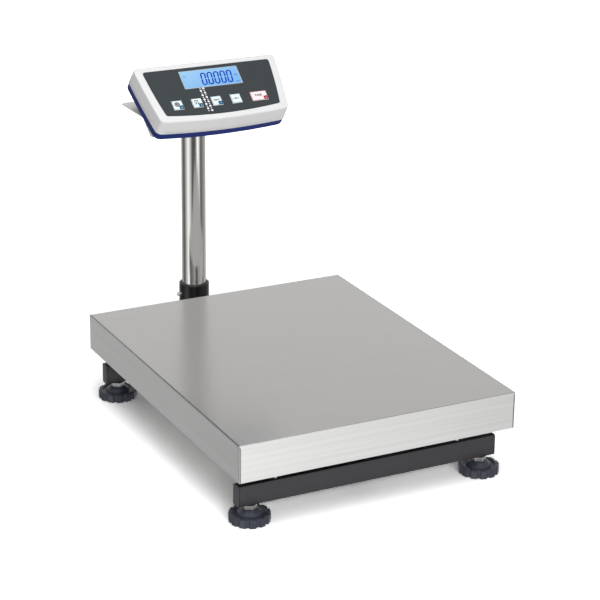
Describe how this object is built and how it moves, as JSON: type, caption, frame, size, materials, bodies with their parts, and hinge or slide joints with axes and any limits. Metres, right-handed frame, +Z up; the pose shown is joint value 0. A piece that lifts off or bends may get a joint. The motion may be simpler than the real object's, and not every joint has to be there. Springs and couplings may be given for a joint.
{
  "type": "counting scale",
  "caption": "Platform counting scale: brushed pan on a load cell and screw feet, with a rear column that carries a tilted display terminal with keys.",
  "frame": {"origin": "on the floor, below the middle of the bounding box", "axes": "+X to the right as seen from the display's front, +Y from the pan's front edge to the column, +Z up"},
  "size_m": [0.4, 0.6146, 0.4616],
  "materials": {
    "brushed_steel": "satin brushed sheet, lines across the width",
    "grey_powder_coat": "fine powder coat, dark grey",
    "cap_plastic": "moulded, dark grey",
    "bright_zinc": "bright zinc plating",
    "milled_aluminium": "milled",
    "black_rubber": "matt",
    "knob_plastic": "moulded, satin black",
    "black_powder_coat": "satin black coat",
    "polished_steel": "polished stainless tube",
    "plug_plastic": "moulded black",
    "level_green": "clear, tinted",
    "light_grey_sheet": "light grey coated sheet",
    "white_abs": "satin moulded white",
    "navy_abs": "satin moulded navy",
    "slate_panel": "matt printed film",
    "clear_window": "clear",
    "lcd_blue": "back-lit pale blue",
    "key_white": "satin, pale blue-white",
    "key_rose": "satin, pale rose",
    "board_green": "solder mask",
    "battery_blue": "shrink film",
    "port_black": "moulded black"
  },
  "bodies": {
    "base": {"front_beam": "grey_powder_coat", "rear_beam": "grey_powder_coat", "centre_beam": "grey_powder_coat", "beam_end_cap_front_left": "cap_plastic", "beam_end_cap_front_right": "cap_plastic", "beam_end_cap_rear_left": "cap_plastic", "beam_end_cap_rear_right": "cap_plastic", "overload_stop_front_left": "bright_zinc", "overload_stop_front_right": "bright_zinc", "overload_stop_rear_left": "bright_zinc", "overload_stop_rear_right": "bright_zinc", "foot_lock_nut_front_left": "bright_zinc", "foot_lock_nut_front_right": "bright_zinc", "foot_lock_nut_rear_left": "bright_zinc", "foot_lock_nut_rear_right": "bright_zinc", "lower_spacer": "bright_zinc", "load_cell": "milled_aluminium", "upper_spacer": "bright_zinc", "carrier_spine": "grey_powder_coat", "carrier_front_arm": "grey_powder_coat", "carrier_rear_arm": "grey_powder_coat", "pan_bumper_front_left": "black_rubber", "pan_bumper_front_right": "black_rubber", "pan_bumper_rear_left": "black_rubber", "pan_bumper_rear_right": "black_rubber", "column_bracket": "black_powder_coat", "bracket_bolt_left": "bright_zinc", "bracket_bolt_right": "bright_zinc", "column_socket": "black_powder_coat", "level_body": "plug_plastic", "level_vial": "level_green"},
    "pan": {"weighing_pan": "brushed_steel"},
    "column": {"column_tube": "polished_steel", "column_plug": "plug_plastic", "display_holder": "light_grey_sheet", "holder_screw_left": "bright_zinc", "holder_screw_right": "bright_zinc", "housing_upper": "white_abs", "housing_lower": "navy_abs", "front_panel": "slate_panel", "lcd_window": "clear_window", "lcd_module": "lcd_blue", "main_board": "board_green", "battery_pack": "battery_blue", "power_jack": "port_black", "cable_gland": "port_black"},
    "clamp_screw": {"clamp_screw": "bright_zinc"},
    "key_1": {"key_1": "key_white"},
    "key_2": {"key_2": "key_white"},
    "key_3": {"key_3": "key_white"},
    "key_4": {"key_4": "key_white"},
    "key_tare": {"key_tare": "key_rose"},
    "foot_front_left": {"foot_stud_front_left": "bright_zinc", "foot_knob_front_left": "knob_plastic"},
    "foot_front_right": {"foot_stud_front_right": "bright_zinc", "foot_knob_front_right": "knob_plastic"},
    "foot_rear_left": {"foot_stud_rear_left": "bright_zinc", "foot_knob_rear_left": "knob_plastic"},
    "foot_rear_right": {"foot_stud_rear_right": "bright_zinc", "foot_knob_rear_right": "knob_plastic"}
  },
  "joints": [
    {"name": "pan_lift", "type": "slide", "parent": "base", "child": "pan", "axis": [0, 0, 1], "range_m": [0, 0.12]},
    {"name": "column_swivel", "type": "hinge", "parent": "base", "child": "column", "pos_m": [0, 0.2753, 0.25], "axis": [0, 0, 1], "range_deg": [-90, 90]},
    {"name": "clamp_screw_turn", "type": "hinge", "parent": "base", "child": "clamp_screw", "pos_m": [-0.022, 0.2753, 0.0981], "axis": [1, 0, 0], "range_deg": [0, 360]},
    {"name": "key_1_press", "type": "slide", "parent": "column", "child": "key_1", "axis": [0, 0.6184, -0.7859], "range_m": [0, 0.0005], "stiffness_N_per_m": 1500, "springref_m": -0.0001},
    {"name": "key_2_press", "type": "slide", "parent": "column", "child": "key_2", "axis": [0, 0.6184, -0.7859], "range_m": [0, 0.0005], "stiffness_N_per_m": 1500, "springref_m": -0.0001},
    {"name": "key_3_press", "type": "slide", "parent": "column", "child": "key_3", "axis": [0, 0.6184, -0.7859], "range_m": [0, 0.0005], "stiffness_N_per_m": 1500, "springref_m": -0.0001},
    {"name": "key_4_press", "type": "slide", "parent": "column", "child": "key_4", "axis": [0, 0.6184, -0.7859], "range_m": [0, 0.0005], "stiffness_N_per_m": 1500, "springref_m": -0.0001},
    {"name": "key_tare_press", "type": "slide", "parent": "column", "child": "key_tare", "axis": [0, 0.6184, -0.7859], "range_m": [0, 0.0005], "stiffness_N_per_m": 1500, "springref_m": -0.0001},
    {"name": "foot_lift_front_left", "type": "slide", "parent": "base", "child": "foot_front_left", "axis": [0, 0, -1], "range_m": [0, 0.009]},
    {"name": "foot_lift_front_right", "type": "slide", "parent": "base", "child": "foot_front_right", "axis": [0, 0, -1], "range_m": [0, 0.009]},
    {"name": "foot_lift_rear_left", "type": "slide", "parent": "base", "child": "foot_rear_left", "axis": [0, 0, -1], "range_m": [0, 0.009]},
    {"name": "foot_lift_rear_right", "type": "slide", "parent": "base", "child": "foot_rear_right", "axis": [0, 0, -1], "range_m": [0, 0.009]}
  ]
}
